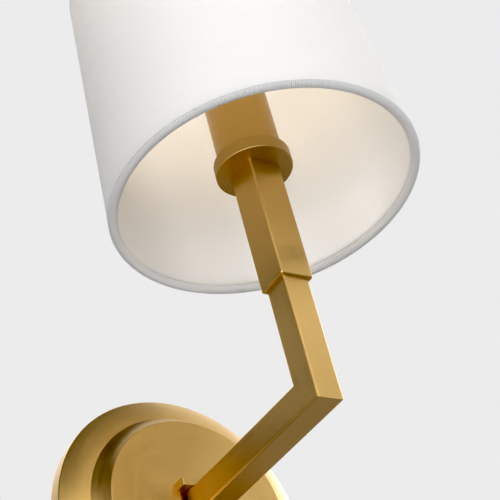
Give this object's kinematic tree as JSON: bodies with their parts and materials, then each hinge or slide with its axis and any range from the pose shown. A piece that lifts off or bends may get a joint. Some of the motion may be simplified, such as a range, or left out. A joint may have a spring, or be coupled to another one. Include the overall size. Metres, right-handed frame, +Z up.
{
  "type": "swing arm wall sconce",
  "caption": "Wall sconce with a round backplate, a square mitred brass arm that swings sideways, a candle cover and a tapered linen drum shade.",
  "frame": {"origin": "centre of the mounting strap's two slots, on the wall plane", "axes": "+Y points into the wall, so the lamp reaches towards -Y; +X is to the right seen from the room; +Z is up"},
  "size_m": [0.1526, 0.2026, 0.3269],
  "materials": {
    "satin_brass": "satin, fine brushed lines, lacquered",
    "turned_brass": "turned, lightly brushed",
    "zinc_steel": "zinc plated",
    "green_screw": "green plated",
    "bronze_washer": "plain bronze",
    "black_insulation": "soft insulation",
    "white_insulation": "soft insulation",
    "green_insulation": "soft insulation",
    "connector_plastic": "moulded",
    "socket_moulding": "moulded thermoset",
    "bare_brass": "bare stamped",
    "frosted_glass": "frosted inside",
    "bulb_metal": "stamped",
    "dark_glass": "fused glass insulator",
    "clear_glass": "clear",
    "filament_coating": "coated strip",
    "linen": "woven linen, white",
    "shade_liner": "translucent styrene",
    "white_wire": "white enamel"
  },
  "bodies": {
    "wall_side": {"mounting_strap": "zinc_steel", "ground_terminal": "zinc_steel", "ground_screw": "green_screw", "backplate": "satin_brass", "backplate_screws": "satin_brass", "pivot_block": "satin_brass", "pivot_screw": "satin_brass", "friction_washers": "bronze_washer", "block_nipple": "zinc_steel", "clamp_cup": "zinc_steel", "block_lock_washer": "zinc_steel", "block_nut": "zinc_steel", "live_wall_lead": "black_insulation", "neutral_wall_lead": "white_insulation", "ground_lead": "green_insulation", "wire_connectors": "connector_plastic"},
    "arm": {"arm_tube": "satin_brass", "arm_knuckle": "turned_brass", "post_sleeve": "satin_brass", "sleeve_plug": "turned_brass", "candle_pan": "satin_brass", "lamp_stem": "zinc_steel", "stem_nuts": "zinc_steel", "socket_bracket": "zinc_steel", "socket_screws": "zinc_steel", "socket_body": "socket_moulding", "socket_shell": "bare_brass", "socket_contact": "bare_brass", "candle_cover": "satin_brass", "shade_ring": "turned_brass", "live_arm_wire": "black_insulation", "neutral_arm_wire": "white_insulation", "bulb_glass": "frosted_glass", "bulb_base": "bulb_metal", "bulb_insulator": "dark_glass", "bulb_contact": "bulb_metal", "bulb_mount": "clear_glass", "bulb_filament": "filament_coating", "shade_fabric": "linen", "shade_liner": "shade_liner", "shade_bottom_hem": "linen", "shade_top_hem": "linen", "shade_bottom_ring": "white_wire", "shade_top_ring": "white_wire", "spider_arms": "white_wire", "fitter_ring": "white_wire"}
  },
  "joints": [
    {"name": "arm_swing", "type": "hinge", "parent": "wall_side", "child": "arm", "pos_m": [0, -0.0255, 0], "axis": [0, 0, 1], "range_deg": [-55, 55]}
  ]
}
